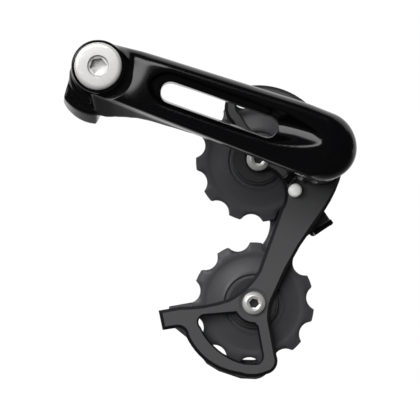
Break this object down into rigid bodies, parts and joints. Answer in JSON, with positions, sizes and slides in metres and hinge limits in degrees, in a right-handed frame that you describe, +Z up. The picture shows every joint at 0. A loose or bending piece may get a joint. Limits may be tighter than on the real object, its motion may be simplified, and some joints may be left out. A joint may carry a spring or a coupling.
{
  "type": "bicycle chain tensioner",
  "caption": "Sprung chain tensioner for a bicycle's rear hanger: slotted link arm, coil-sprung cage plates and toothed pulleys between them.",
  "frame": {"origin": "on the hanger bolt's axis, in the plane of the boss face that seats on the frame's hanger", "axes": "+Y inboard along the hanger bolt, +X towards the bicycle's front, +Z up"},
  "size_m": [0.0979, 0.0526, 0.1131],
  "materials": {
    "gloss_black_paint": "smooth gloss",
    "satin_black_plate": "satin",
    "black_resin": "moulded satin",
    "bright_steel": "fine turned",
    "zinc_steel": "zinc plated",
    "dark_cap_steel": "dark, fine turned",
    "black_oxide_steel": "black oxide",
    "spring_steel": "oiled",
    "bearing_bronze": "sintered",
    "seal_rubber": "matt"
  },
  "bodies": {
    "arm": {"link_arm": "gloss_black_paint", "bolt_washer": "bright_steel", "pivot_bushing_outer": "bearing_bronze", "pivot_bushing_inner": "bearing_bronze", "axle_lock_screw": "black_oxide_steel", "tension_spring": "spring_steel"},
    "bolt": {"mounting_bolt": "bright_steel", "bolt_retaining_ring": "spring_steel"},
    "cage": {"pivot_axle": "bright_steel", "pivot_seal_ring": "seal_rubber", "outer_plate": "satin_black_plate", "inner_plate": "satin_black_plate", "stop_pin": "zinc_steel", "guide_bushing": "bearing_bronze", "guide_cap_outer": "dark_cap_steel", "guide_cap_inner": "dark_cap_steel", "guide_pulley_bolt": "bright_steel", "tension_bushing": "bearing_bronze", "tension_cap_outer": "dark_cap_steel", "tension_cap_inner": "dark_cap_steel", "tension_pulley_bolt": "bright_steel"},
    "guide_wheel": {"guide_pulley": "black_resin"},
    "tension_wheel": {"tension_pulley": "black_resin"}
  },
  "joints": [
    {"name": "cage_pivot", "type": "hinge", "parent": "arm", "child": "cage", "pos_m": [0.07413, 0, -0.02582], "axis": [0, -1, 0], "range_deg": [0, 95], "stiffness_Nm_per_rad": 0.27, "springref_deg": -74.48, "deforming": ["tension_spring"]},
    {"name": "bolt_turn", "type": "hinge", "parent": "arm", "child": "bolt", "pos_m": [0, 0, 0], "axis": [0, 1, 0], "continuous": true},
    {"name": "guide_spin", "type": "hinge", "parent": "cage", "child": "guide_wheel", "pos_m": [0.05473, 0.028, -0.02842], "axis": [0, -1, 0], "continuous": true},
    {"name": "tension_spin", "type": "hinge", "parent": "cage", "child": "tension_wheel", "pos_m": [0.05323, 0.028, -0.07792], "axis": [0, -1, 0], "continuous": true}
  ]
}
